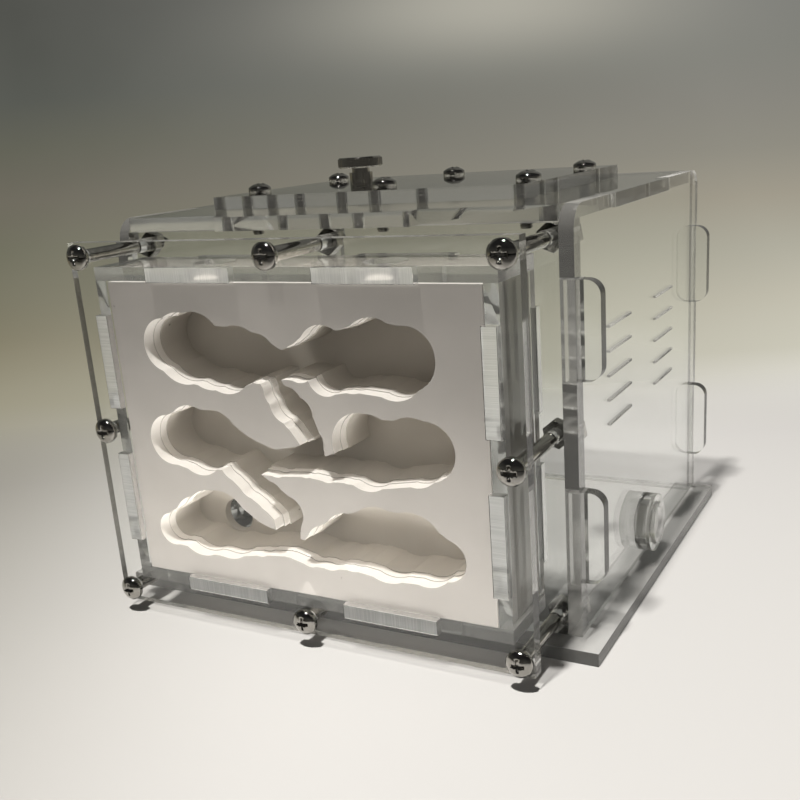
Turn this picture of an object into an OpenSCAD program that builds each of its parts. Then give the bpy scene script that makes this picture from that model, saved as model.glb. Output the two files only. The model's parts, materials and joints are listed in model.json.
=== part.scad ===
// Ant habitat: a clear nest box round a block of galleries, bolted to the front of a clear arena
// with a lift-off roof. The nest faces -Y. The origin is on the table, under the middle of the object.

/* [Sheet] */
// Thickness of every clear sheet
sheet_t = 3; // [2.8:0.1:3.2]
// Play round each tab in its slot
slot_play = 0.1; // [0.05:0.05:0.2]
// Play between the lift-off roof and the arena
roof_play = 0.3; // [0.3:0.1:0.6]

/* [Nest box] */
// Width of the nest's front and back plates
nest_w = 106; // [104:1:108]
// Height of the nest's front and back plates
nest_h = 85; // [84:1:88]
// Depth between the front plate and the back plate
nest_room = 16; // [14:0.5:18]
// Outer width of the frame between the two plates
frame_w = 96; // [94:1:97]
// Outer height of the frame between the two plates
frame_h = 74; // [73:0.5:75]
// Length of each tab on the top and bottom panels
long_tab = 22; // [16:1:24]
// Distance from the middle to each tab of the top and bottom panels
long_tab_x = 21; // [18:1:24]
// Length of each tab on the left and right panels
short_tab = 21; // [14:1:22]
// Distance from the middle to each tab of the left and right panels
short_tab_z = 16; // [14:1:18]
// Diameter of the two watering holes in the top panel
water_d = 9; // [8:1:12]
// Distance from the middle to each watering hole
water_x = 21; // [18:1:26]

/* [Galleries] */
// Thickness of the pale slab that faces the viewer
face_t = 5; // [4:0.5:8]
// Depth of the first, wider cut into the pale slab
step_t = 3; // [2:0.5:3.5]
// How much narrower each later cut is, on every side
step_in = 0.2; // [0.1:0.1:0.4]
// Clearance between the slabs and the frame
block_play = 0.25; // [0.1:0.05:0.5]
// Clearance between the pale slab and the front plate
front_play = 0.2; // [0.1:0.1:0.4]
// Wall left behind the galleries
back_skin = 2; // [1.5:0.5:3]
// Diameter of the passage from the nest to the arena
passage_d = 8; // [7:0.5:8]
// Place of the passage, across from the middle
passage_x = -28; // [-29:1:-26]
// Place of the passage, up from the middle
passage_z = -24; // [-25:1:-22]

/* [Arena] */
// Length of the arena's side panels
panel_len = 98.5; // [90:0.5:110]
// Radius of the side panels' top corners
panel_r = 5; // [3:0.5:8]
// How far each end wall stands in from the ends of the side panels
wall_in = 3; // [2:0.5:5]
// Height of the front wall, which carries the roof
wall_h = 85.2; // [85:0.1:90]
// How far the tabs of the end walls stand out of the side panels
tab_out = 4; // [2:0.5:5]
// Height of the tabs of the end walls
wall_tab = 20; // [16:1:22]
// Corner radius of the tabs of the end walls
wall_tab_r = 3; // [1:0.5:3.5]
// Distance from mid height to each tab of the end walls
wall_tab_z = 21.5; // [19:0.5:24]
// Length of each vent slit
slit_len = 16; // [12:1:18]
// Height of each vent slit
slit_h = 0.5; // [0.4:0.1:1]
// Spacing of the slits in a column
slit_pitch = 5.3; // [4:0.1:6]
// Number of slits in a column
slit_count = 5; // [3:1:6]
// Distance from the panel's front edge to the middle of each column of slits
slit_y = [29, 65];
// Height of the middle slit above mid height
slit_z = 8.3; // [4:0.1:10]
// Width of the base plate
base_w = 122.5; // [121:0.5:130]
// Length of the base plate
base_len = 104; // [101:0.5:104]

/* [Roof] */
// Length of the roof's side tabs
roof_tab = 43; // [30:1:50]
// Distance from the panel's front edge to the near end of the roof's side tabs
roof_tab_y = 26; // [20:1:30]
// Width of the roof's finger tongue
tongue_w = 48; // [30:1:60]
// How far the finger tongue stands out
tongue_out = 4.5; // [3:0.5:6]
// Width of the lid plate
lid_w = 80; // [78:1:90]
// Length of the lid plate
lid_len = 63.5; // [60:0.5:66]
// Distance from the panel's front edge to the lid's front edge
lid_y = 16.5; // [12:0.5:18]
// Distance from the middle to the outer lid screws
lid_screw_x = 35.7; // [33:0.1:36.5]
// Distance from the middle of the lid to each row of its screws
lid_screw_y = 18.6; // [15:0.1:26]

/* [Fasteners] */
// Diameter of the screw shanks
shank_d = 2.9; // [2.8:0.02:2.96]
// Diameter of the clearance holes
clear_d = 3.2; // [3.1:0.1:3.5]
// Diameter of the threaded holes
thread_d = 3; // [3:0.01:3.06]
// Diameter of the pan heads
head_d = 5.6; // [5:0.1:5.8]
// Height of the pan heads
head_h = 2.2; // [1.8:0.1:2.4]
// Length of the nest screws
nest_screw_len = 30; // [28:1:32]
// Length of the lid screws
lid_screw_len = 10; // [7:1:12]
// Distance from the middle to the side columns of nest screws
screw_x = 50; // [49.5:0.1:50.5]
// Distance from the middle to the top and bottom rows of nest screws
screw_z = 39.4; // [39:0.1:39.6]
// Width of the nuts across their flats
nut_af = 5.4; // [5:0.1:5.6]
// Height of the nuts
nut_h = 2.4; // [1.8:0.1:2.8]
// Length of the thumb screw's shank
thumb_len = 8; // [7:1:10]
// Diameter of the thumb screw's knurled head
knob_d = 11; // [9:0.5:13]
// Height of the knurled head
knob_h = 2.5; // [2:0.1:3.5]
// Number of grooves round the knurled head
knob_grooves = 48; // [24:1:56]
// Diameter of the thumb screw's collar
collar_d = 5.8; // [5:0.1:6.4]
// Height of the thumb screw's collar
collar_h = 3.1; // [2:0.1:4]
// Place of the thumb screw across from the middle
knob_x = -13.5; // [-20:0.5:-8]
// Place of the thumb screw back from the lid's front edge
knob_y = 25.5; // [20:0.5:30]

/* [Port] */
// Outer diameter of the port's collar
port_d = 14; // [12:0.5:15]
// How far the collar stands out of the side panel
port_out = 3.5; // [3:0.1:3.8]
// Diameter of the port's bore
port_bore = 8; // [7:0.5:8.5]
// Place of the port back from the panel's front edge
port_y = 45; // [30:1:60]
// Height of the port above the base plate
port_z = 9; // [8.5:0.5:20]

/* [Hidden] */
$fn = 48;

// Depths, from the front plate's outer face to the rear ends of the side panels
front_y = head_h - (head_h + sheet_t + nest_room + panel_len) / 2;
room_y = front_y + sheet_t;
back_y = room_y + nest_room;
slab_y = room_y + front_play;
core_y = slab_y + face_t;
arena_front_y = back_y + wall_in;
panel_end_y = back_y + panel_len;
arena_rear_y = panel_end_y - wall_in - sheet_t;

// Heights, from the table
floor_z = sheet_t;
mid_z = floor_z + nest_h / 2;
roof_z = floor_z + wall_h;
top_z = roof_z + sheet_t;
lid_z = top_z + sheet_t;

inner_w = nest_w;
lid_mid_y = back_y + lid_y + lid_len / 2;
thumb_y = back_y + lid_y + knob_y;
port_mid = [inner_w / 2 + sheet_t, back_y + port_y, floor_z + port_z];
port_hole = port_bore + 2;
port_play = 0.05;
cap_d = port_bore + 2;
cap_seat = 1.2;
plug_in = 0.5;

// The nuts are turned so that their corners clear the side panels and the base plate
nut_turn = 20;
nest_screw_at = [
    for (x = [-screw_x, 0, screw_x], z = [-screw_z, 0, screw_z]) if (x != 0 || z != 0) [x, mid_z + z]
];
lid_screw_at = [
    for (x = [-lid_screw_x, 0, lid_screw_x], y = [-lid_screw_y, lid_screw_y]) [x, lid_mid_y + y]
];

// The galleries are runs of round hollows. Each hollow is [across, up, radius] from the nest's middle,
// and neighbours in a run are joined by a slightly narrower neck, which leaves the scalloped edge.
galleries = [
    // Upper level: left hall, its roof, right hall and its floor
    [
        [-30.9, 20.1, 5.9], [-26.3, 19.5, 7.9], [-19.6, 17.9, 7.2], [-15.4, 17.4, 7.3],
        [-11.5, 18.6, 6.4], [-7, 18.2, 5.4], [-0.8, 17, 3.1], [3.4, 17.5, 4]
    ],
    [[-26.3, 19.5, 7.9], [-22.5, 20, 7.6], [-19.6, 17.9, 7.2]],
    [[3.4, 17.5, 4], [9.5, 20, 5.6], [13.8, 19.6, 5], [21, 20.5, 6.8], [28, 19.4, 6.5]],
    [[9.5, 15.2, 4.2], [15.5, 17.6, 5.7], [25.3, 17.8, 6.8], [28, 19.4, 6.5]],
    // Tunnel down to the middle level
    [[-3.9, 13.8, 2.8], [-2.9, 11, 3], [-0.6, 8.6, 4.1], [1.7, 6.7, 4], [4.7, 1, 3], [4.5, -3.2, 3.6]],
    // Middle level: left hall and its floor, passage, right hall and its roof
    [[-33.1, -1.5, 5.8], [-26.8, 0.5, 6.4], [-20.5, -0.5, 6.8], [-12.5, -3.2, 4.4], [-5, -4.4, 3.2]],
    [[-33.1, -1.5, 5.8], [-25.5, -2.4, 6.7], [-20.5, -0.5, 6.8]],
    [[-5, -4.4, 3.2], [2.5, -3.4, 3.6], [7.8, -4.6, 2.9], [12.8, -3.6, 3.7]],
    [[12.8, -3.6, 3.7], [17.5, -2.2, 6.2], [28.5, -0.5, 6], [31.3, 1.2, 6.2]],
    [[16.7, 1.2, 6.9], [18.4, 1.4, 6.6], [22.9, 0.9, 6.2], [28.2, 0.9, 7.1], [31.3, 1.2, 6.2]],
    // Tunnel down to the lower level
    [[-15.6, -5.2, 4.5], [-11.9, -9.6, 3.6], [-7.5, -12.3, 3.7], [-3.4, -15.6, 4.1], [-3.7, -20.2, 3.2]],
    // Lower level: left hall and its floor, passage, right hall and its floor
    [
        [-36.2, -23.3, 3.9], [-24, -20.3, 7.8], [-21.9, -20.3, 8], [-12, -22.6, 4.2],
        [-4.5, -23.1, 2.8], [1.5, -24.3, 3.1]
    ],
    [[-28, -21.6, 7.2], [-20.5, -21.2, 7.3], [-12, -22.6, 4.2]],
    [
        [1.5, -24.3, 3.1], [5.4, -21.6, 4.2], [11.6, -19.8, 6], [18.8, -18.6, 7.1],
        [26.4, -19.6, 7.8], [33.9, -21.2, 4.6]
    ],
    [
        [1.5, -24.3, 3.1], [6.3, -22.9, 4.5], [12, -21.6, 5.3], [20.5, -20.7, 7.5],
        [29.5, -21.2, 6.5], [33.9, -21.2, 4.6]
    ]
];
neck = 0.93;

clear_tint = [0.86, 0.9, 0.9, 0.4];
pale_tint = [0.9, 0.88, 0.84];
core_tint = [0.6, 0.56, 0.5];
steel_tint = [0.72, 0.72, 0.74];
knob_tint = [0.3, 0.3, 0.31];

// Places a flat outline, drawn across and up, as an upright sheet whose near face is at y
module upright(y, depth = sheet_t) {
    translate([0, y + depth, 0]) rotate([90, 0, 0]) linear_extrude(depth) children();
}

// Places a flat outline, drawn back and up, as a sheet facing sideways from x
module sideways(x) {
    translate([x, 0, 0]) rotate([90, 0, 90]) linear_extrude(sheet_t) children();
}

// Places a flat outline, drawn across and back, as a level sheet from z
module level(z) {
    translate([0, 0, z]) linear_extrude(sheet_t) children();
}

// A rectangle centred on a point
module pane(w, h, at = [0, 0]) {
    translate([at.x - w / 2, at.y - h / 2]) square([w, h]);
}

// ---- nest box ----

// Slots that the frame's tabs pass through
module frame_slots() {
    for (side = [-1, 1], end = [-1, 1]) {
        pane(long_tab + 2 * slot_play, sheet_t + 2 * slot_play,
            [side * long_tab_x, mid_z + end * (frame_h - sheet_t) / 2]);
        pane(sheet_t + 2 * slot_play, short_tab + 2 * slot_play,
            [side * (frame_w - sheet_t) / 2, mid_z + end * short_tab_z]);
    }
}

module nest_plate_outline() {
    difference() {
        pane(nest_w, nest_h, [0, mid_z]);
        for (at = nest_screw_at) translate(at) circle(d = clear_d);
        frame_slots();
    }
}

module passage() {
    translate([passage_x, mid_z + passage_z]) circle(d = passage_d);
}

module nest_front_plate() {
    color(clear_tint) upright(front_y) nest_plate_outline();
}

module nest_back_plate() {
    color(clear_tint) upright(back_y) difference() {
        nest_plate_outline();
        passage();
    }
}

// Level panel of the frame, with tabs through both plates
module frame_long() {
    pane(frame_w, nest_room, [0, room_y + nest_room / 2]);
    for (side = [-1, 1]) {
        pane(long_tab, nest_room + 2 * sheet_t, [side * long_tab_x, room_y + nest_room / 2]);
    }
}

module nest_top_panel() {
    color(clear_tint) level(mid_z + frame_h / 2 - sheet_t) difference() {
        frame_long();
        for (side = [-1, 1]) {
            translate([side * water_x, room_y + nest_room / 2]) circle(d = water_d);
        }
    }
}

module nest_bottom_panel() {
    color(clear_tint) level(mid_z - frame_h / 2) frame_long();
}

// Upright panel of the frame, with tabs through both plates
module frame_short() {
    pane(nest_room, frame_h - 2 * sheet_t, [room_y + nest_room / 2, mid_z]);
    for (end = [-1, 1]) {
        pane(nest_room + 2 * sheet_t, short_tab, [room_y + nest_room / 2, mid_z + end * short_tab_z]);
    }
}

module nest_left_panel() {
    color(clear_tint) sideways(-frame_w / 2) frame_short();
}

module nest_right_panel() {
    color(clear_tint) sideways(frame_w / 2 - sheet_t) frame_short();
}

// ---- block of galleries ----

// Corner of the neck between hollows a and b, at the given side of hollow c
function neck_corner(a, b, c, side, trim) =
    let (
        gap = norm([b.x - a.x, b.y - a.y]),
        lean = acos((a.z - b.z) * neck / gap),
        angle = atan2(b.y - a.y, b.x - a.x) + side * lean
    )
    [c.x + (c.z * neck - trim) * cos(angle), c.y + (c.z * neck - trim) * sin(angle)];

module neck_between(a, b, trim) {
    polygon([
        neck_corner(a, b, a, 1, trim), neck_corner(a, b, b, 1, trim),
        neck_corner(a, b, b, -1, trim), neck_corner(a, b, a, -1, trim)
    ]);
}

// Outline of all the galleries, made narrower by trim
module gallery_outline(trim = 0) {
    translate([0, mid_z]) for (run = galleries) {
        for (hollow = run) translate([hollow.x, hollow.y]) circle(r = hollow.z - trim);
        for (i = [1 : len(run) - 1]) neck_between(run[i - 1], run[i], trim);
    }
}

module block_outline() {
    pane(frame_w - 2 * sheet_t - 2 * block_play, frame_h - 2 * sheet_t - block_play,
        [0, mid_z - block_play / 2]);
}

module gallery_face() {
    color(pale_tint) {
        upright(slab_y, step_t) difference() {
            block_outline();
            gallery_outline();
        }
        upright(slab_y + step_t, face_t - step_t) difference() {
            block_outline();
            gallery_outline(step_in);
        }
    }
}

module gallery_core() {
    skin_y = back_y - back_skin;
    color(core_tint) {
        upright(core_y, skin_y - core_y) difference() {
            block_outline();
            gallery_outline(2 * step_in);
        }
        upright(skin_y, back_skin) difference() {
            block_outline();
            passage();
        }
    }
}

// ---- fasteners ----

// Pan-head screw with a cross recess, standing head up with its seat at the origin
module pan_screw(length) {
    dome_r = 4.2;
    recess_w = 0.8;
    recess_depth = 1.4;
    translate([0, 0, -length]) cylinder(h = length, d = shank_d);
    difference() {
        intersection() {
            cylinder(h = head_h, d = head_d);
            translate([0, 0, head_h - dome_r]) sphere(dome_r);
        }
        intersection() {
            translate([0, 0, head_h - recess_depth]) cylinder(h = recess_depth + 1, r1 = 0.7, r2 = 2.6);
            union() {
                translate([-head_d / 2, -recess_w / 2, 0]) cube([head_d, recess_w, 2 * head_h]);
                translate([-recess_w / 2, -head_d / 2, 0]) cube([recess_w, head_d, 2 * head_h]);
            }
        }
    }
}

module nest_screws() {
    color(steel_tint) for (at = nest_screw_at) {
        translate([at.x, front_y, at.y]) rotate([90, 0, 0]) pan_screw(nest_screw_len);
    }
}

module nest_nuts() {
    color(steel_tint) for (at = nest_screw_at) {
        translate([at.x, arena_front_y + sheet_t + nut_h, at.y]) rotate([90, nut_turn, 0]) difference() {
            cylinder(h = nut_h, d = nut_af / cos(30), $fn = 6);
            translate([0, 0, -1]) cylinder(h = nut_h + 2, d = thread_d);
        }
    }
}

// ---- arena ----

// Tab at the end of a wall, rounded at its two free corners, reaching out to the right
module round_tab() {
    reach = sheet_t + tab_out;
    translate([0, -wall_tab / 2]) square([reach - wall_tab_r, wall_tab]);
    translate([0, wall_tab_r - wall_tab / 2]) square([reach, wall_tab - 2 * wall_tab_r]);
    for (end = [-1, 1]) {
        translate([reach - wall_tab_r, end * (wall_tab / 2 - wall_tab_r)]) circle(wall_tab_r);
    }
}

module wall_outline(height) {
    pane(inner_w, height, [0, floor_z + height / 2]);
    for (turn = [0, 1], end = [-1, 1]) {
        mirror([turn, 0]) translate([inner_w / 2, mid_z + end * wall_tab_z]) round_tab();
    }
}

module arena_front_wall() {
    color(clear_tint) upright(arena_front_y) difference() {
        wall_outline(wall_h);
        for (at = nest_screw_at) translate(at) circle(d = clear_d);
        passage();
    }
}

module arena_rear_wall() {
    color(clear_tint) upright(arena_rear_y) wall_outline(wall_h + sheet_t);
}

// Side panel, drawn back and up: round top corners, slots for the wall tabs, a notch for the roof
module side_outline() {
    height = top_z - floor_z;
    difference() {
        translate([back_y, floor_z]) {
            square([panel_len, height - panel_r]);
            translate([panel_r, 0]) square([panel_len - 2 * panel_r, height]);
            for (y = [panel_r, panel_len - panel_r]) {
                translate([y, height - panel_r]) circle(panel_r);
            }
        }
        for (y = [arena_front_y, arena_rear_y], end = [-1, 1]) {
            pane(sheet_t + 2 * slot_play, wall_tab + 2 * slot_play,
                [y + sheet_t / 2, mid_z + end * wall_tab_z]);
        }
        translate([back_y + roof_tab_y, roof_z]) square([roof_tab, sheet_t + 1]);
        for (y = slit_y, i = [0 : slit_count - 1]) {
            pane(slit_len, slit_h, [back_y + y, mid_z + slit_z + (i - 2) * slit_pitch]);
        }
    }
}

module arena_left_panel() {
    color(clear_tint) sideways(-inner_w / 2 - sheet_t) side_outline();
}

module arena_right_panel() {
    color(clear_tint) sideways(inner_w / 2) difference() {
        side_outline();
        translate([port_mid.y, port_mid.z]) circle(d = port_hole);
    }
}

module base_plate() {
    color(clear_tint) level(0) pane(base_w, base_len, [0, panel_end_y - base_len / 2]);
}

// ---- port ----

// Turns a part that stands on the side panel's outer face to point out to the right
module on_port() {
    translate(port_mid) rotate([0, 90, 0]) children();
}

module port_bushing() {
    color(clear_tint) on_port() difference() {
        union() {
            cylinder(h = port_out, d = port_d);
            translate([0, 0, -sheet_t]) cylinder(h = sheet_t + 1, d = port_hole - 2 * port_play);
        }
        translate([0, 0, -sheet_t - 1]) cylinder(h = port_out + sheet_t + 2, d = port_bore);
        translate([0, 0, port_out - cap_seat]) cylinder(h = cap_seat + 1, d = cap_d + 2 * roof_play);
    }
}

module port_plug() {
    cap_h = 2;
    color(clear_tint) on_port() {
        translate([0, 0, plug_in - sheet_t])
            cylinder(h = port_out + sheet_t - cap_seat - plug_in, d = port_bore - 2 * port_play);
        translate([0, 0, port_out - cap_seat]) cylinder(h = cap_h, d = cap_d);
    }
}

// ---- roof and lid ----

module roof_plate() {
    roof_front = back_y + 0.5;
    roof_back = arena_rear_y - roof_play;
    color(clear_tint) level(roof_z) difference() {
        union() {
            pane(inner_w - 2 * roof_play, roof_back - roof_front, [0, (roof_front + roof_back) / 2]);
            pane(inner_w + 2 * sheet_t, roof_tab - 2 * roof_play, [0, back_y + roof_tab_y + roof_tab / 2]);
            pane(tongue_w, 2 * tongue_out, [0, roof_front]);
        }
        for (at = lid_screw_at) translate(at) circle(d = thread_d);
        translate([knob_x, thumb_y]) circle(d = thread_d);
    }
}

module lid_plate() {
    color(clear_tint) level(top_z) difference() {
        pane(lid_w, lid_len, [0, lid_mid_y]);
        for (at = lid_screw_at) translate(at) circle(d = clear_d);
        translate([knob_x, thumb_y]) circle(d = thread_d);
    }
}

module lid_screws() {
    color(steel_tint) for (at = lid_screw_at) translate([at.x, at.y, lid_z]) pan_screw(lid_screw_len);
}

// Thumb screw: shank, collar, short neck and a knurled head
module thumb_screw() {
    neck_d = 4.4;
    neck_h = 1.1;
    edge = 0.4;
    groove_r = 0.27;
    head_at = collar_h + neck_h;
    color(knob_tint) translate([knob_x, thumb_y, lid_z]) difference() {
        rotate_extrude() polygon([
            [0, -thumb_len], [shank_d / 2, -thumb_len], [shank_d / 2, 0],
            [collar_d / 2, 0], [collar_d / 2, collar_h], [neck_d / 2, collar_h],
            [neck_d / 2, head_at], [knob_d / 2 - edge, head_at], [knob_d / 2, head_at + edge],
            [knob_d / 2, head_at + knob_h - edge], [knob_d / 2 - edge, head_at + knob_h],
            [0, head_at + knob_h]
        ]);
        for (i = [1 : knob_grooves]) {
            rotate(i * 360 / knob_grooves) translate([knob_d / 2 + groove_r / 3, 0, head_at - 1]) {
                cylinder(h = knob_h + 2, r = groove_r, $fn = 24);
            }
        }
    }
}

nest_front_plate();
nest_back_plate();
nest_top_panel();
nest_bottom_panel();
nest_left_panel();
nest_right_panel();
gallery_face();
gallery_core();
nest_screws();
nest_nuts();
arena_front_wall();
arena_rear_wall();
arena_left_panel();
arena_right_panel();
base_plate();
roof_plate();
lid_plate();
lid_screws();
thumb_screw();
port_bushing();
port_plug();
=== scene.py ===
import json
import math

import bmesh
import bpy
from mathutils import Matrix, Vector

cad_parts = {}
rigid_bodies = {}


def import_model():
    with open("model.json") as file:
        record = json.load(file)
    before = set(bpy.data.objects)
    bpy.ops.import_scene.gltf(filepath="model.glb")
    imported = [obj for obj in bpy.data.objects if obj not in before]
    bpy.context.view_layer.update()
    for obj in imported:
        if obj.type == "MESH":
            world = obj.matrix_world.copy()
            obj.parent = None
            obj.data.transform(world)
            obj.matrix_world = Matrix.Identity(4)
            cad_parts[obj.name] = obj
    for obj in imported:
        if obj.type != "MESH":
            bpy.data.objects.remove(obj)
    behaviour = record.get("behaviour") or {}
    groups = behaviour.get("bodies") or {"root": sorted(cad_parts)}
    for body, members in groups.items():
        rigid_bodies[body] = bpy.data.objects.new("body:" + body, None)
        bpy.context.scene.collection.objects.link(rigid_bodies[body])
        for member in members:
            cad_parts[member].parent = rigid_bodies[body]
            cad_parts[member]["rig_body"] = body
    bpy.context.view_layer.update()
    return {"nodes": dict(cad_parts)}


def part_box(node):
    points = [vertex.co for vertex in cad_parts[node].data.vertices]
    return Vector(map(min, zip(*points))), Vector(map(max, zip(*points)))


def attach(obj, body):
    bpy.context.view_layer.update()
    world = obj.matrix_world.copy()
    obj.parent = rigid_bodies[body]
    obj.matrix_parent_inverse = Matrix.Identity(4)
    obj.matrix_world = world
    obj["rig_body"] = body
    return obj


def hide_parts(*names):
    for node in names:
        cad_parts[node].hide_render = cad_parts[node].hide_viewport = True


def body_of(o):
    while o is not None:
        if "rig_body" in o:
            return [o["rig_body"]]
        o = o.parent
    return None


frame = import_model()
nodes = frame["nodes"]
mm = 0.001
print("frame loaded,", len(nodes), "nodes")


# Camera: the lens, place and turn that the picture was taken with
cameraSettings = {
    "lens": 45.274,
    "shift": (-0.00983, 0.05271),
    "place": (0.119132, -0.218312, 0.105822),
    "right": (0.879309, 0.470986, -0.070620),
    "up": (-0.079478, 0.291323, 0.953318),
    "back": (0.469572, -0.832648, 0.293596),
    "sensor": 36,
    "clip": (0.01, 20),
}


def makeCamera(s):
    data = bpy.data.cameras.new("camera")
    data.lens = s["lens"]
    data.sensor_width = s["sensor"]
    data.shift_x, data.shift_y = s["shift"]
    data.clip_start, data.clip_end = s["clip"]
    camera = bpy.data.objects.new("camera", data)
    bpy.context.collection.objects.link(camera)
    turn = Matrix((s["right"], s["up"], s["back"])).transposed().to_4x4()
    camera.matrix_world = Matrix.Translation(s["place"]) @ turn
    bpy.context.scene.camera = camera


makeCamera(cameraSettings)
print("camera set")


# Short ways to write node trees. Settings are the node's own, and ins are its inputs,
# each a value or the socket that feeds it.
def addNode(tree, kind, ins=None, **settings):
    made = tree.nodes.new(kind)
    for name, value in settings.items():
        setattr(made, name, value)
    for key, value in (ins or {}).items():
        if isinstance(value, bpy.types.NodeSocket):
            tree.links.new(value, made.inputs[key])
        else:
            made.inputs[key].default_value = value
    return made


# The first output of a new node
def first(tree, kind, ins=None, **settings):
    return addNode(tree, kind, ins, **settings).outputs[0]


def maths(tree, operation, a, b=0.0, clamp=False):
    return first(tree, "ShaderNodeMath", {0: a, 1: b}, operation=operation, use_clamp=clamp)


def mixColour(tree, amount, a, b):
    return addNode(tree, "ShaderNodeMix", {0: amount, 6: a, 7: b}, data_type="RGBA").outputs[2]


def mixShader(tree, amount, a, b):
    return first(tree, "ShaderNodeMixShader", {0: amount, 1: a, 2: b})


def remap(tree, value, span, toLow=0.0, toHigh=1.0, way="LINEAR"):
    ins = {"Value": value, "From Min": span[0], "From Max": span[1],
           "To Min": toLow, "To Max": toHigh}
    return addNode(tree, "ShaderNodeMapRange", ins, interpolation_type=way).outputs["Result"]


# A level that wanders between two shares of itself as the value crosses the span
def varied(tree, value, span, level, shares):
    return remap(tree, value, span, level * shares[0], level * shares[1])


# Noise, given as its scale, detail and roughness
def grain(tree, point, noise):
    scale, detail, rough = noise
    ins = {"Vector": point, "Scale": scale, "Detail": detail, "Roughness": rough}
    return addNode(tree, "ShaderNodeTexNoise", ins).outputs["Fac"]


def bumpFrom(tree, height, strength, depth):
    ins = {"Strength": strength, "Distance": depth, "Height": height}
    return first(tree, "ShaderNodeBump", ins)


def ramp(tree, value, stops):
    made = addNode(tree, "ShaderNodeValToRGB", {"Fac": value})
    band = made.color_ramp
    while len(band.elements) < len(stops):
        band.elements.new(0.5)
    for element, (place, colour) in zip(band.elements, stops):
        element.position = place
        element.color = colour
    return made.outputs["Color"]


# Yes where the camera looks, straight, in a mirror or through a sheet
def seenPart(tree, path):
    straight = maths(tree, "ADD", path["Is Camera Ray"], path["Is Glossy Ray"])
    return maths(tree, "ADD", straight, path["Is Transmission Ray"], True)


def startMaterial(name):
    mat = bpy.data.materials.new(name)
    mat.use_nodes = True
    tree = mat.node_tree
    tree.nodes.clear()
    point = addNode(tree, "ShaderNodeTexCoord").outputs["Object"]
    out = addNode(tree, "ShaderNodeOutputMaterial")
    return mat, tree, point, out


# Picture levels, 0 to 255, as the linear colours that Blender works in
def linear(levels):
    return (*[((level / 255 + 0.055) / 1.055) ** 2.4 for level in levels], 1)


# Clear sheet: polished faces and sawn edges. An edge is glass with a share of frost,
# of which a part is lit from behind, and its painted glow is emission that stands in for the light
# that it carries from elsewhere.
sheetSettings = {
    "tint": (0.985, 0.992, 0.985, 1),
    "ior": 1.49,
    "smear": (60, 2.0, 0.6),
    "smearSpan": (0.45, 0.75),
    "faceRoughness": 0.012,
    "faceShares": (0.3, 2.5),
    "facePass": 0.97,
    "edgePass": 0.90,
    "leastPass": 0.42,
    "sawLines": 4200,
    "sawAcross": 60,
    "saw": (1.0, 1.0, 0.5),
    "sawSpan": (0.3, 0.7),
    "sawBump": 0.015,
    "sawDepth": 0.0001,
    "roughnessShares": (0.8, 1.2),
    "frostSpan": (0.35, 0.65),
    "frostShares": (0.94, 1.06),
    "frostBehind": 0.45,
    "glowShares": (0.75, 1.25),
    "edges": {
        # a paler, glowing copy of the frosted edge: painted light for the tab ends
        "paintedBright": {
            "frost": 0.34, "colour": (0.88, 0.87, 0.83, 1), "roughness": 0.16, "paintedGlow": 0.15,
        },
        "frosted": {
            "frost": 0.24, "colour": (0.70, 0.69, 0.65, 1), "roughness": 0.12, "paintedGlow": 0.02,
        },
        "plain": {
            "frost": 0.16, "colour": (0.62, 0.61, 0.57, 1), "roughness": 0.05, "paintedGlow": 0.0,
        },
    },
}


# Lamps reach through the sheet in a straight line, so what stands behind it is lit,
# less what a face turns back at that slant.
def letLampsThrough(tree, body, passed, s, out):
    turnedBack = first(tree, "ShaderNodeFresnel", {"IOR": s["ior"]})
    kept = maths(tree, "SUBTRACT", 1.0, turnedBack)
    kept = maths(tree, "MULTIPLY", maths(tree, "MULTIPLY", kept, kept), passed)
    fromInside = addNode(tree, "ShaderNodeNewGeometry").outputs["Backfacing"]
    kept = maths(tree, "MAXIMUM", maths(tree, "MAXIMUM", kept, s["leastPass"]), fromInside)
    through = first(tree, "ShaderNodeBsdfTransparent", {0: kept})
    shadowRay = addNode(tree, "ShaderNodeLightPath").outputs["Is Shadow Ray"]
    tree.links.new(mixShader(tree, shadowRay, body, through), out.inputs["Surface"])


def glassOf(tree, rough, s, **more):
    ins = {"Base Color": s["tint"], "Roughness": rough, "IOR": s["ior"],
           "Transmission Weight": 1.0, **more}
    return first(tree, "ShaderNodeBsdfPrincipled", ins)


def makeFaceMaterial(s):
    mat, tree, point, out = startMaterial("clear_sheet_face")
    smear = grain(tree, point, s["smear"])
    rough = varied(tree, smear, s["smearSpan"], s["faceRoughness"], s["faceShares"])
    letLampsThrough(tree, glassOf(tree, rough, s), s["facePass"], s, out)
    return mat


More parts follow.
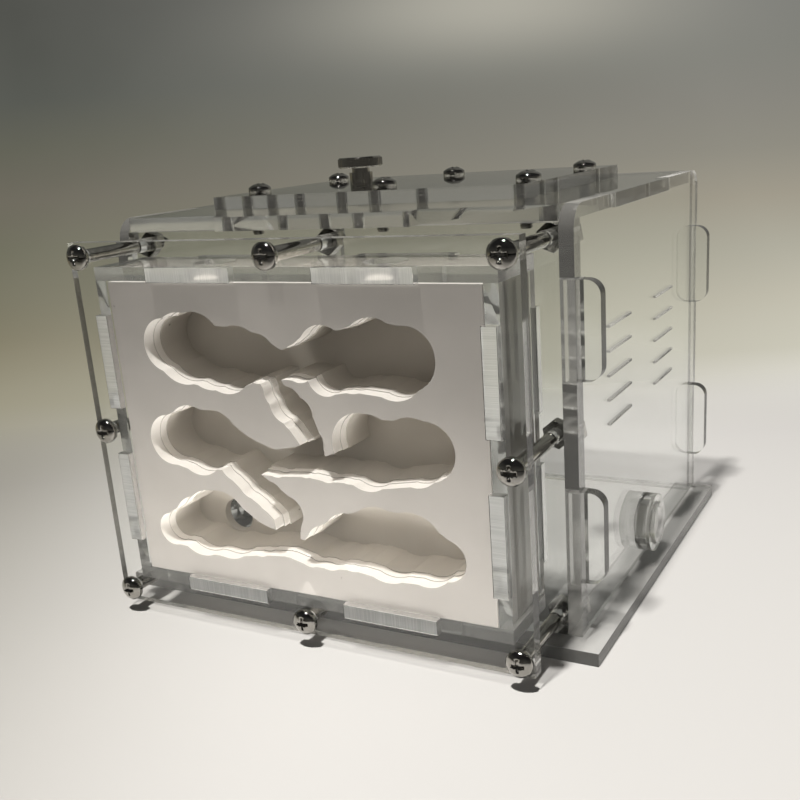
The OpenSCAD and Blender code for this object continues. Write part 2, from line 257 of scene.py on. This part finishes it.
# Thin is the axis across the sheet, 0 to 2: the saw's lines run along it
def makeEdgeMaterial(kind, thin, s):
    mat, tree, point, out = startMaterial("sawn_edge_" + kind + "_" + "xyz"[thin])
    edge = s["edges"][kind]
    lines = [s["sawLines"]] * 3
    lines[thin] = s["sawAcross"]
    stretched = addNode(tree, "ShaderNodeMapping", {"Vector": point, "Scale": lines})
    saw = grain(tree, stretched.outputs["Vector"], s["saw"])
    rough = varied(tree, saw, s["sawSpan"], edge["roughness"], s["roughnessShares"])
    bump = bumpFrom(tree, saw, s["sawBump"], s["sawDepth"])
    glass = glassOf(tree, rough, s, Normal=bump)
    paint = {"Color": edge["colour"], "Normal": bump}
    frost = mixShader(tree, s["frostBehind"], first(tree, "ShaderNodeBsdfDiffuse", paint),
                      first(tree, "ShaderNodeBsdfTranslucent", paint))
    amount = varied(tree, saw, s["frostSpan"], edge["frost"], s["frostShares"])
    body = mixShader(tree, amount, glass, frost)
    # painted light: the edge glows as emission, though it is no lamp
    if edge["paintedGlow"]:
        strength = varied(tree, saw, s["sawSpan"], edge["paintedGlow"], s["glowShares"])
        paintedGlow = first(tree, "ShaderNodeEmission", {"Color": edge["colour"], "Strength": strength})
        body = first(tree, "ShaderNodeAddShader", {0: body, 1: paintedGlow})
    letLampsThrough(tree, body, s["edgePass"], s, out)
    return mat


faceMaterial = makeFaceMaterial(sheetSettings)
edgeMaterials = {(kind, thin): makeEdgeMaterial(kind, thin, sheetSettings)
                 for kind in sheetSettings["edges"] for thin in range(3)}
print("clear sheet materials made")


# Slab and core: cast plaster with a few dark specks. On the slab, faces that don't face the front
# are painted paler than the front face: painted light for the lamp's light on the floors and walls
# of the halls.
plasterSettings = {
    "slab": (0.54, 0.509, 0.479, 1),
    "slabDark": (0.495, 0.466, 0.438, 1),
    "slabPaintedPale": (0.93, 0.895, 0.855, 1),
    "core": (0.64, 0.605, 0.552, 1),
    "coreDark": (0.565, 0.53, 0.48, 1),
    "cloud": (55, 4.0, 0.6),
    "cloudSpan": (0.35, 0.65),
    "paintedPaleSpan": (0.6, 0.95),
    "speckScale": 165.0,
    "speckSize": 0.07,
    "speckPatches": (140, 1.0, 0.4),
    "speckLevel": 0.66,
    "speckAmount": 0.75,
    "speckColour": (0.10, 0.085, 0.07, 1),
    "pores": (900, 3.0, 0.6),
    "poreSpan": (0.3, 0.7),
    "bump": 0.22,
    "bumpDepth": 0.00015,
    "roughness": (0.82, 0.94),
    "specular": 0.25,
}


def makePlasterMaterial(name, pale, dark, s, paintedPale=None):
    mat, tree, point, out = startMaterial(name)
    cloud = grain(tree, point, s["cloud"])
    pores = grain(tree, point, s["pores"])
    colour = mixColour(tree, remap(tree, cloud, s["cloudSpan"]), s[dark], s[pale])
    # painted light: faces turned away from the front take the paler colour
    if paintedPale:
        normal = addNode(tree, "ShaderNodeTexCoord").outputs["Normal"]
        facing = addNode(tree, "ShaderNodeSeparateXYZ", {0: normal}).outputs["Y"]
        flat = remap(tree, maths(tree, "ABSOLUTE", facing), s["paintedPaleSpan"])
        colour = mixColour(tree, flat, s[paintedPale], colour)
    dots = {"Vector": point, "Scale": s["speckScale"]}
    away = addNode(tree, "ShaderNodeTexVoronoi", dots).outputs["Distance"]
    patch = maths(tree, "GREATER_THAN", grain(tree, point, s["speckPatches"]), s["speckLevel"])
    speck = maths(tree, "MULTIPLY", maths(tree, "LESS_THAN", away, s["speckSize"]), patch)
    amount = maths(tree, "MULTIPLY", speck, s["speckAmount"])
    colour = mixColour(tree, amount, colour, s["speckColour"])
    bump = bumpFrom(tree, pores, s["bump"], s["bumpDepth"])
    rough = remap(tree, pores, s["poreSpan"], *s["roughness"])
    body = first(tree, "ShaderNodeBsdfPrincipled",
                 {"Base Color": colour, "Roughness": rough,
                  "Specular IOR Level": s["specular"], "Normal": bump})
    tree.links.new(body, out.inputs["Surface"])
    return mat


slabMaterial = makePlasterMaterial("slab_plaster", "slab", "slabDark", plasterSettings, "slabPaintedPale")
coreMaterial = makePlasterMaterial("core_plaster", "core", "coreDark", plasterSettings)
print("plaster materials made")


# Plated steel, a little worn
metalSettings = {
    "screw": {"colour": (0.37, 0.357, 0.33, 1), "worn": (0.49, 0.475, 0.445, 1),
              "roughness": 0.07},
    "knob": {"colour": (0.42, 0.40, 0.36, 1), "worn": (0.52, 0.50, 0.46, 1),
             "roughness": 0.10},
    "smear": (700, 3.0, 0.6),
    "wornSpan": (0.4, 0.7),
    "roughSpan": (0.3, 0.7),
    "roughnessShares": (0.7, 1.5),
    "fine": (4200, 2.0, 0.5),
    "bump": 0.06,
    "bumpDepth": 0.0001,
}


def makeMetalMaterial(name, plating, s):
    mat, tree, point, out = startMaterial(name)
    smear = grain(tree, point, s["smear"])
    fine = grain(tree, point, s["fine"])
    worn = remap(tree, smear, s["wornSpan"])
    colour = mixColour(tree, worn, plating["colour"], plating["worn"])
    rough = varied(tree, smear, s["roughSpan"], plating["roughness"], s["roughnessShares"])
    body = first(tree, "ShaderNodeBsdfPrincipled",
                 {"Base Color": colour, "Metallic": 1.0, "Roughness": rough,
                  "Normal": bumpFrom(tree, fine, s["bump"], s["bumpDepth"])})
    tree.links.new(body, out.inputs["Surface"])
    return mat


screwMaterial = makeMetalMaterial("plated_screws", metalSettings["screw"], metalSettings)
knobMaterial = makeMetalMaterial("dark_knob", metalSettings["knob"], metalSettings)
print("metal materials made")


# Meshes: corners this near are one, and edges this short go
meshSettings = {"merge": 2e-6, "sliver": 1e-7}


def addPiece(name, mesh, material, body, stands):
    mesh.materials.clear()
    mesh.materials.append(material)
    piece = bpy.data.objects.new(name, mesh)
    bpy.context.collection.objects.link(piece)
    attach(piece, body)
    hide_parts(*stands)
    return piece


# The node's triangles as one joined mesh
def mergedMesh(node, name):
    work = bmesh.new()
    work.from_mesh(nodes[node].data)
    bmesh.ops.remove_doubles(work, verts=work.verts, dist=meshSettings["merge"])
    bmesh.ops.dissolve_degenerate(work, edges=work.edges, dist=meshSettings["sliver"])
    mesh = bpy.data.meshes.new(name)
    work.to_mesh(mesh)
    work.free()
    return mesh


def shadeSmooth(mesh, angle):
    mesh.polygons.foreach_set("use_smooth", [True] * len(mesh.polygons))
    mesh.set_sharp_from_angle(angle=math.radians(angle))


# Clear pieces: for each node the axis across the sheet, and the kind of its edges.
# Flat is how closely a normal follows an axis for its face to count as square to it.
clearPieces = {
    "gap": 0.015 * mm,
    "flat": 0.9,
    "smoothAngle": 25,
    "tabReach": 0.2 * mm,
    "sheets": {
        "nest_front_plate": (1, "plain"), "nest_back_plate": (1, "plain"),
        "nest_top_panel": (2, "frosted"), "nest_bottom_panel": (2, "frosted"),
        "nest_left_panel": (0, "frosted"), "nest_right_panel": (0, "frosted"),
        "arena_front_wall": (1, "plain"), "arena_rear_wall": (1, "plain"),
        "arena_left_panel": (0, "frosted"), "arena_right_panel": (0, "frosted"),
        "base_plate": (2, "frosted"), "roof_plate": (2, "plain"), "lid_plate": (2, "plain"),
        "port_bushing": (0, "plain"), "port_plug": (0, "plain"),
    },
}


# Every face goes in by the gap, so that two sheets that touch never share a face.
# The faces across the sheet move as one and stay flat.
def shrink(mesh, thin, s):
    work = bmesh.new()
    work.from_mesh(mesh)
    bmesh.ops.recalc_face_normals(work, faces=work.faces)
    work.normal_update()
    moves = []
    for v in work.verts:
        across = Vector((0, 0, 0))
        aside = Vector((0, 0, 0))
        for face in v.link_faces:
            if abs(face.normal[thin]) > s["flat"]:
                across[thin] = math.copysign(s["gap"], face.normal[thin])
            else:
                aside += face.normal * face.calc_area()
        aside[thin] = 0
        if aside.length > 0:
            across += aside.normalized() * s["gap"]
        moves.append(across)
    for v, move in zip(work.verts, moves):
        v.co -= move
    work.to_mesh(mesh)
    work.free()


# The frame's tabs end level with the front plate, and their sawn ends take a paler, glowing edge:
# painted light for the light they catch
def isTabEnd(node, thin, polygon, tabFront, s):
    onFrame = node.startswith("nest") and thin != 1
    return onFrame and polygon.center.y < tabFront and polygon.normal.y < -s["flat"]


def makeClearSheets(s):
    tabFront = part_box("nest_front_plate")[0].y + s["tabReach"]
    for node, (thin, kind) in s["sheets"].items():
        mesh = mergedMesh(node, "eased_" + node)
        shrink(mesh, thin, s)
        shadeSmooth(mesh, s["smoothAngle"])
        body = body_of(nodes[node])[0]
        addPiece("eased_" + node, mesh, faceMaterial, body, [node])
        mesh.materials.append(edgeMaterials[kind, thin])
        mesh.materials.append(edgeMaterials["paintedBright", thin])
        faceSlot, edgeSlot, tabSlot = range(3)
        for polygon in mesh.polygons:
            if abs(polygon.normal[thin]) > s["flat"]:
                polygon.material_index = faceSlot
                polygon.use_smooth = False
            elif isTabEnd(node, thin, polygon, tabFront, s):
                polygon.material_index = tabSlot
            else:
                polygon.material_index = edgeSlot


makeClearSheets(clearPieces)
print("clear sheets made")


# A piece of the case with eased edges, whose wide faces stay flat beside them
def makeEased(node, name, material, s):
    mesh = mergedMesh(node, name)
    shadeSmooth(mesh, s["smoothAngle"])
    piece = addPiece(name, mesh, material, "case", [node])
    bevel = piece.modifiers.new("eased edges", "BEVEL")
    bevel.width = s["ease"]
    bevel.segments = s["segments"]
    bevel.limit_method = "ANGLE"
    bevel.angle_limit = math.radians(s["easeAngle"])
    weigh = piece.modifiers.new("flat faces", "WEIGHTED_NORMAL")
    weigh.mode = "FACE_AREA"
    weigh.weight = s["faceWeight"]
    weigh.keep_sharp = True
    return piece


slabPiece = {
    "ease": 0.22 * mm, "segments": 2, "easeAngle": 50, "smoothAngle": 30, "faceWeight": 100,
}
slabObject = makeEased("gallery_face", "pale_slab", slabMaterial, slabPiece)


def dress(node, material):
    piece = nodes[node]
    for place in piece.material_slots:
        place.material = material
    if not piece.material_slots:
        piece.data.materials.append(material)


dress("gallery_core", coreMaterial)
dress("thumb_screw", knobMaterial)
print("slab and core made")


# Screws: heads from the frame, shanks and threads by geometry nodes. Plain is the share of
# a shank without thread, and ridge the thread's radius as a share of its groove.
threadSettings = {
    "radius": 1.5 * mm,
    "groove": 0.28 * mm,
    "pitch": 0.5 * mm,
    "ridge": 0.62,
    "sides": 28,
    "ridgeSides": 4,
    "turnSteps": 20,
    "headAngle": 48,
    "shankAngle": 40,
    "nest": {"plain": 0.62, "turn": (-math.pi / 2, 0, 0)},
    "lid": {"plain": 0.04, "turn": (math.pi, 0, 0)},
}


def makeThreadTree(s):
    tree = bpy.data.node_groups.new("threaded_shank", "GeometryNodeTree")
    face = tree.interface
    face.new_socket("Points", in_out="INPUT", socket_type="NodeSocketGeometry")
    for name in ("Radius", "Groove", "Pitch", "Plain Length", "Thread Length"):
        face.new_socket(name, in_out="INPUT", socket_type="NodeSocketFloat")
    face.new_socket("Turn", in_out="INPUT", socket_type="NodeSocketVector")
    face.new_socket("Finish", in_out="INPUT", socket_type="NodeSocketMaterial")
    face.new_socket("Shanks", in_out="OUTPUT", socket_type="NodeSocketGeometry")
    given = addNode(tree, "NodeGroupInput").outputs
    out = addNode(tree, "NodeGroupOutput")

    def raised(shape, height):
        lift = first(tree, "ShaderNodeCombineXYZ", {"Z": height})
        return first(tree, "GeometryNodeTransform", {"Geometry": shape, "Translation": lift})

    def rod(radius, length, start):
        sizes = {"Vertices": s["sides"], "Radius": radius, "Depth": length}
        cylinder = addNode(tree, "GeometryNodeMeshCylinder", sizes).outputs["Mesh"]
        return raised(cylinder, maths(tree, "ADD", start, maths(tree, "MULTIPLY", length, 0.5)))

    core = maths(tree, "SUBTRACT", given["Radius"], given["Groove"])
    plain = rod(given["Radius"], given["Plain Length"], 0.0)
    inner = rod(core, given["Thread Length"], given["Plain Length"])
    ridge = maths(tree, "MULTIPLY", given["Groove"], s["ridge"])
    middle = maths(tree, "SUBTRACT", given["Radius"], ridge)
    run = maths(tree, "SUBTRACT", given["Thread Length"], maths(tree, "MULTIPLY", ridge, 2.0))
    spiral = addNode(tree, "GeometryNodeCurveSpiral",
                     {"Resolution": s["turnSteps"],
                      "Rotations": maths(tree, "DIVIDE", run, given["Pitch"]),
                      "Start Radius": middle, "End Radius": middle, "Height": run})
    profile = addNode(tree, "GeometryNodeCurvePrimitiveCircle",
                      {"Resolution": s["ridgeSides"], "Radius": ridge}, mode="RADIUS")
    winding = addNode(tree, "GeometryNodeCurveToMesh",
                      {"Curve": spiral.outputs["Curve"], "Profile Curve": profile.outputs["Curve"],
                       "Fill Caps": True}).outputs["Mesh"]
    winding = raised(winding, maths(tree, "ADD", given["Plain Length"], ridge))
    joined = addNode(tree, "GeometryNodeJoinGeometry")
    for part in (plain, inner, winding):
        tree.links.new(part, joined.inputs[0])
    placed = first(tree, "GeometryNodeInstanceOnPoints",
                   {"Points": given["Points"], "Instance": joined.outputs[0],
                    "Rotation": given["Turn"]})
    real = first(tree, "GeometryNodeRealizeInstances", {0: placed})
    done = first(tree, "GeometryNodeSetMaterial", {"Geometry": real, "Material": given["Finish"]})
    tree.links.new(done, out.inputs[0])
    return tree


# The tree's result on that mesh, as a plain mesh
def applyNodes(tree, mesh, values):
    holder = bpy.data.objects.new("holder", mesh)
    bpy.context.collection.objects.link(holder)
    modifier = holder.modifiers.new("nodes", "NODES")
    modifier.node_group = tree
    for item in tree.interface.items_tree:
        if item.in_out == "INPUT" and item.name in values:
            modifier[item.identifier] = values[item.name]
    graph = bpy.context.evaluated_depsgraph_get()
    result = bpy.data.meshes.new_from_object(holder.evaluated_get(graph), depsgraph=graph)
    bpy.data.objects.remove(holder)
    return result


# Leaves the faces whose middles keep says yes to, and closes what that opens
def keepFaces(mesh, keep):
    work = bmesh.new()
    work.from_mesh(mesh)
    gone = [f for f in work.faces if not keep(f.calc_center_median())]
    bmesh.ops.delete(work, geom=gone, context="FACES")
    bmesh.ops.holes_fill(work, edges=[e for e in work.edges if e.is_boundary], sides=0)
    bmesh.ops.recalc_face_normals(work, faces=work.faces)
    work.to_mesh(mesh)
    work.free()


threadTree = makeThreadTree(threadSettings)


def makeHeads(name, node, body, kept, s):
    heads = mergedMesh(node, name)
    keepFaces(heads, kept)
    shadeSmooth(heads, s["headAngle"])
    return addPiece(name, heads, screwMaterial, body, [node])


def makeShanks(name, node, body, places, length, run, s):
    points = bpy.data.meshes.new(name + "_points")
    points.from_pydata(places, [], [])
    plain = s[run]["plain"]
    values = {"Radius": s["radius"], "Groove": s["groove"], "Pitch": s["pitch"],
              "Plain Length": length * plain, "Thread Length": length * (1 - plain),
              "Turn": s[run]["turn"], "Finish": screwMaterial}
    shanks = applyNodes(threadTree, points, values)
    shadeSmooth(shanks, s["shankAngle"])
    return addPiece(name, shanks, screwMaterial, body, [node])


# Where the screws stand, from the middle of their plate. A face is a head's if it lies
# outside the plate, or in it by less than the seat.
screwPlaces = {
    "nestAcross": 50 * mm,
    "nestRise": 39.4 * mm,
    "lidAcross": 35.7 * mm,
    "lidAlong": 18.6 * mm,
    "seat": 0.004 * mm,
}


# The upper row casts no shadow: as the sheets don't bend it, it would fall on the slab
def makeNestScrews(s):
    plateLow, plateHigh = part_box("nest_front_plate")
    front = plateLow.y
    middle = (plateLow.z + plateHigh.z) / 2
    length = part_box("nest_screws")[1].y - front
    across, rise = s["nestAcross"], s["nestRise"]
    places = [(x, front, middle + z) for x in (-across, 0, across) for z in (-rise, rise)]
    places += [(x, front, middle) for x in (-across, across)]
    split = middle + rise / 2
    for row in ("upper", "lower"):
        def inRow(height):
            return height > split if row == "upper" else height < split

        def isHead(at):
            return at.y < front + s["seat"] and inRow(at.z)

        heads = makeHeads("nest_screw_heads_" + row, "nest_screws", "case", isHead, threadSettings)
        shanks = makeShanks("nest_screw_shanks_" + row, "nest_screws", "case",
                            [place for place in places if inRow(place[2])],
                            length, "nest", threadSettings)
        heads.visible_shadow = shanks.visible_shadow = row == "lower"


def makeLidScrews(s):
    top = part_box("lid_plate")[1].z
    low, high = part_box("lid_screws")
    middle = (low.y + high.y) / 2
    across, along = s["lidAcross"], s["lidAlong"]
    places = [(x, middle + y, top) for x in (-across, 0, across) for y in (-along, along)]
    makeHeads("lid_screw_heads", "lid_screws", "roof",
              lambda at: at.z > top - s["seat"], threadSettings)
    makeShanks("lid_screw_shanks", "lid_screws", "roof", places, top - low.z, "lid", threadSettings)


makeNestScrews(screwPlaces)
makeLidScrews(screwPlaces)
print("screws made")


nutPiece = {
    "ease": 0.14 * mm, "segments": 2, "easeAngle": 40, "smoothAngle": 30, "faceWeight": 100,
}
makeEased("nest_nuts", "nest_nut_set", screwMaterial, nutPiece)
print("nuts made")


# Floor and backdrop: one sheet from the front to the wall, turned in degrees so that the
# wall stands square behind the object. Half is half of its width.
stageSettings = {
    "turn": 29.42,
    "front": -1.6,
    "wall": 0.62,
    "bend": 0.30,
    "height": 1.5,
    "half": 1.8,
    "steps": 24,
}


# Left and right are picture levels at each distance back along the floor and up the wall, darker to
# the left and further back: painted light falloff on the wall. The painted glow is a pool of light
# painted on the wall.
# Near and far colour the floor, darker to the left: painted light falloff. Mirrored is the share of
# the front floor that polished metal doesn't show, a painted dark reflection, and bounced the share
# of the floor's light that reaches the object.
backdropSettings = {
    "left": [
        (0.12, (138, 133, 115)), (0.20, (141, 135, 112)), (0.336, (130, 124, 102)),
        (0.44, (119, 116, 97)), (0.525, (111, 110, 93)), (0.60, (109, 105, 93)),
        (0.67, (96, 96, 84)), (0.73, (85, 87, 81)), (0.82, (79, 80, 75)),
    ],
    "right": [
        (0.12, (240, 237, 229)), (0.20, (210, 207, 192)), (0.336, (194, 190, 174)),
        (0.44, (175, 172, 157)), (0.525, (160, 154, 139)), (0.60, (143, 140, 129)),
        (0.67, (135, 133, 125)), (0.73, (128, 128, 121)), (0.82, (122, 122, 118)),
    ],
    "rampSpan": (-0.2, 1.3),
    "sideSpan": (-0.285, 0.25),
    "paintedGlow": (178, 175, 163),
    "glowAt": (0.09, 0.80),
    "glowReach": (0.14, 0.06),
    "glowAmount": 0.9,
    "mottle": (6, 3.0, 0.5),
    "mottleSpan": (0.3, 0.7),
    "mottleAmount": 0.04,
    "mottleColour": (0.5, 0.49, 0.45, 1),
    "floorNear": (0.56, 0.553, 0.543, 1),
    "floorFar": (0.29, 0.282, 0.255, 1),
    "nearSpan": (-0.165, -0.02),
    "mirrored": 0.88,
    "mirrorSpan": (-0.18, -0.07),
    "bounced": 0.26,
    "wallSpan": (0.08, 0.16),
    "black": (0, 0, 0, 1),
}


def makeBackdropMaterial(s, turn):
    mat, tree, point, out = startMaterial("backdrop_paint")
    turned = addNode(tree, "ShaderNodeMapping",
                     {"Vector": point, "Rotation": (0, 0, -math.radians(turn))})
    split = addNode(tree, "ShaderNodeSeparateXYZ", {0: turned.outputs["Vector"]})
    across = split.outputs["X"]
    along = maths(tree, "ADD", split.outputs["Y"], split.outputs["Z"])
    rampLow, rampHigh = s["rampSpan"]
    place = remap(tree, along, s["rampSpan"])
    tones = [ramp(tree, place, [((at - rampLow) / (rampHigh - rampLow), linear(levels))
                                for at, levels in s[side]]) for side in ("left", "right")]
    tone = mixColour(tree, remap(tree, across, s["sideSpan"]), *tones)
    squares = []
    for value, at, reach in zip((across, along), s["glowAt"], s["glowReach"]):
        offset = maths(tree, "DIVIDE", maths(tree, "SUBTRACT", value, at), reach)
        squares.append(maths(tree, "MULTIPLY", offset, offset))
    spread = maths(tree, "ADD", *squares)
    paintedGlow = maths(tree, "EXPONENT", maths(tree, "MULTIPLY", spread, -1.0))
    # painted light: a pool of light on the wall
    tone = mixColour(tree, maths(tree, "MULTIPLY", paintedGlow, s["glowAmount"]), tone, linear(s["paintedGlow"]))
    mottle = grain(tree, point, s["mottle"])
    mottle = remap(tree, mottle, s["mottleSpan"], 0.0, s["mottleAmount"])
    tone = mixColour(tree, mottle, tone, s["mottleColour"])
    shown = first(tree, "ShaderNodeEmission", {"Color": tone, "Strength": 1.0})
    # painted light falloff: the floor darker to the left
    nearness = remap(tree, across, s["nearSpan"], way="SMOOTHSTEP")
    paper = mixColour(tree, nearness, s["floorFar"], s["floorNear"])
    path = addNode(tree, "ShaderNodeLightPath").outputs
    seen = seenPart(tree, path)
    held = remap(tree, seen, (0.0, 1.0), 1.0 - s["bounced"], 0.0)
    paper = mixColour(tree, held, paper, s["black"])
    # painted reflection: metal sees the front floor dark
    front = remap(tree, along, s["mirrorSpan"], s["mirrored"], 0.0)
    front = maths(tree, "MULTIPLY", front, path["Is Glossy Ray"])
    paper = mixColour(tree, front, paper, s["black"])
    matte = first(tree, "ShaderNodeBsdfDiffuse", {"Color": paper})
    amount = maths(tree, "MULTIPLY", seen, remap(tree, along, s["wallSpan"]))
    tree.links.new(mixShader(tree, amount, matte, shown), out.inputs["Surface"])
    return mat


def makeBackdrop(s):
    outline = [(s["front"], 0.0)]
    for i in range(s["steps"] + 1):
        a = math.radians(90 * i / s["steps"])
        back = s["wall"] - s["bend"] + s["bend"] * math.sin(a)
        outline.append((back, s["bend"] * (1 - math.cos(a))))
    outline.append((s["wall"], s["height"]))
    turn = Matrix.Rotation(math.radians(s["turn"]), 4, "Z")
    verts = [turn @ Vector((x, y, z)) for y, z in outline for x in (-s["half"], s["half"])]
    faces = [(2 * i, 2 * i + 1, 2 * i + 3, 2 * i + 2) for i in range(len(outline) - 1)]
    mesh = bpy.data.meshes.new("backdrop")
    mesh.from_pydata([v[:] for v in verts], [], faces)
    mesh.materials.append(makeBackdropMaterial(backdropSettings, s["turn"]))
    mesh.polygons.foreach_set("use_smooth", [True] * len(mesh.polygons))
    backdrop = bpy.data.objects.new("backdrop", mesh)
    bpy.context.collection.objects.link(backdrop)
    backdrop.visible_shadow = False


makeBackdrop(stageSettings)
print("floor and backdrop made")


# Lamps: the glint is the key lamp's reflection in the metal, and the bounce stands
# below the floor for the light that the table throws into the galleries
metalPieces = [piece for piece in bpy.data.objects
               if piece.type == "MESH" and piece.active_material in (screwMaterial, knobMaterial)]
lampSettings = {
    "key": {
        "kind": "SPOT", "at": (0.0, -0.33, 1.05), "aim": (0.08, -0.045, 0.0),
        "size": 0.05, "power": 68.0, "cone": 54, "colour": (1.0, 0.972, 0.93),
    },
    "glint": {
        "kind": "SPOT", "at": (0.0, -0.33, 1.05), "aim": (0.0, 0.0, 0.05),
        "size": 0.08, "power": 90.0, "cone": 54, "colour": (1.0, 0.98, 0.95),
        "lit": metalPieces,
    },
    "fill": {
        "kind": "AREA", "at": (0.9, -0.7, 0.55), "aim": (0.0, 0.0, 0.05),
        "size": 0.7, "depth": 0.7, "power": 0.3, "colour": (0.95, 0.98, 1.0),
    },
    "bounce": {
        "kind": "AREA", "at": (0.0, -0.086, -0.003), "aim": (0.0, -0.054, 0.03),
        "size": 0.12, "depth": 0.015, "power": 0.09, "colour": (1.0, 0.97, 0.93),
        "lit": [slabObject, nodes["gallery_core"]],
    },
}
worldSettings = {
    "low": (0.09, 0.088, 0.08, 1),
    "high": (0.025, 0.025, 0.025, 1),
    "ambient": (0.085, 0.083, 0.079, 1),
    "span": (0.0, 0.45),
}


def makeLamp(name, s):
    data = bpy.data.lights.new(name, s["kind"])
    data.energy = s["power"]
    data.color = s["colour"]
    if s["kind"] == "SPOT":
        data.shadow_soft_size = s["size"] / 2
        data.spot_size = math.radians(s["cone"])
        data.spot_blend = 1.0
    else:
        data.shape = "RECTANGLE"
        data.size = s["size"]
        data.size_y = s["depth"]
    lamp = bpy.data.objects.new(name, data)
    bpy.context.collection.objects.link(lamp)
    lamp.location = s["at"]
    away = Vector(s["at"]) - Vector(s["aim"])
    lamp.rotation_mode = "QUATERNION"
    lamp.rotation_quaternion = away.to_track_quat("Z", "Y")
    lamp.visible_transmission = False
    lamp.visible_camera = False
    lamp.visible_glossy = name == "glint"
    if "lit" in s:
        lit = bpy.data.collections.new(name + " falls on")
        for piece in s["lit"]:
            lit.objects.link(piece)
        lamp.light_linking.receiver_collection = lit


def makeWorld(s):
    world = bpy.data.worlds.new("world")
    world.use_nodes = True
    tree = world.node_tree
    tree.nodes.clear()
    direction = addNode(tree, "ShaderNodeTexCoord").outputs["Generated"]
    upward = addNode(tree, "ShaderNodeSeparateXYZ", {0: direction}).outputs["Z"]
    room = mixColour(tree, remap(tree, upward, s["span"]), s["low"], s["high"])
    seen = seenPart(tree, addNode(tree, "ShaderNodeLightPath").outputs)
    colour = mixColour(tree, seen, s["ambient"], room)
    back = first(tree, "ShaderNodeBackground", {"Color": colour, "Strength": 1.0})
    out = addNode(tree, "ShaderNodeOutputWorld")
    tree.links.new(back, out.inputs["Surface"])
    bpy.context.scene.world = world


for lampName, lampValues in lampSettings.items():
    makeLamp(lampName, lampValues)
makeWorld(worldSettings)
bpy.context.scene.view_settings.view_transform = "Standard"
print("lamps and world made")
